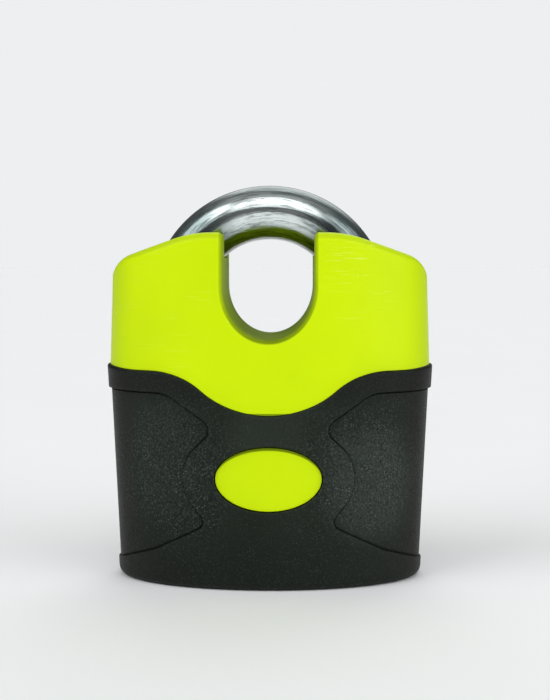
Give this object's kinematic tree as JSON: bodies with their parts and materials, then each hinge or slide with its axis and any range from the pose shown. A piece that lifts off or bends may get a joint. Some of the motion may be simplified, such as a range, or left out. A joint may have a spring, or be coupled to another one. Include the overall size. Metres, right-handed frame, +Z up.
{
  "type": "padlock",
  "caption": "Closed-shoulder padlock with a painted steel body, a chromed round-rod shackle across a U-notch, and a moulded plastic jacket with an oval window.",
  "frame": {"origin": "centre of the underside of the jacket, which is the foot of the padlock", "axes": "+Z up towards the shackle, +X to the viewer's right seen from the front, -Y is the front with the oval window"},
  "size_m": [0.0858, 0.044, 0.1025],
  "materials": {
    "body_paint": "satin high-visibility yellow-green paint",
    "shackle_chrome": "bright chrome plate over hardened steel",
    "jacket_plastic": "black, fine spark-eroded texture",
    "screw_steel": "black zinc plate",
    "housing_brass": "turned",
    "hard_steel": "ground, hardened",
    "plate_steel": "hardened, faintly brushed",
    "plug_steel": "turned",
    "rotor_brass": "turned",
    "clip_steel": "phosphated spring steel",
    "entry_steel": "nickel-plated",
    "sidebar_steel": "ground",
    "tail_steel": "zinc-plated",
    "cam_steel": "sintered steel",
    "ball_steel": "polished bearing steel",
    "disc_brass": "stamped",
    "spacer_steel": "stamped"
  },
  "bodies": {
    "lock": {"lock_body": "body_paint", "jacket": "jacket_plastic", "jacket_screws": "screw_steel", "cylinder_housing": "housing_brass", "cylinder_pin": "hard_steel", "anti_drill_plate": "plate_steel", "channel_plug": "plug_steel"},
    "shackle_body": {"shackle": "shackle_chrome"},
    "plug": {"rotor": "rotor_brass", "rotor_clip": "clip_steel", "entry_disc": "entry_steel", "sidebar": "sidebar_steel", "tailpiece": "tail_steel", "ball_cam": "cam_steel", "code_disc_01": "disc_brass", "code_disc_02": "disc_brass", "code_disc_03": "disc_brass", "code_disc_04": "disc_brass", "code_disc_05": "disc_brass", "code_disc_06": "disc_brass", "code_disc_07": "disc_brass", "code_disc_08": "disc_brass", "disc_spacer_01": "spacer_steel", "disc_spacer_02": "spacer_steel", "disc_spacer_03": "spacer_steel", "disc_spacer_04": "spacer_steel", "disc_spacer_05": "spacer_steel", "disc_spacer_06": "spacer_steel", "disc_spacer_07": "spacer_steel"},
    "ball_left": {"locking_ball_left": "ball_steel"},
    "ball_right": {"locking_ball_right": "ball_steel"}
  },
  "joints": [
    {"name": "shackle_lift", "type": "slide", "parent": "lock", "child": "shackle_body", "axis": [0, 0, 1], "range_m": [0, 0.052]},
    {"name": "plug_turn", "type": "hinge", "parent": "lock", "child": "plug", "pos_m": [0, 0, 0.018], "axis": [0, 0, 1], "range_deg": [0, 90]},
    {"name": "ball_left_slide", "type": "slide", "parent": "lock", "child": "ball_left", "axis": [-1, 0, 0], "range_m": [0, 0.00402]},
    {"name": "ball_right_slide", "type": "slide", "parent": "lock", "child": "ball_right", "axis": [1, 0, 0], "range_m": [0, 0.00402]}
  ],
  "couplings": [
    {"joint": "ball_left_slide", "follows": "plug_turn", "m_per_rad": 0.0025465},
    {"joint": "ball_right_slide", "follows": "plug_turn", "m_per_rad": 0.0025465}
  ]
}
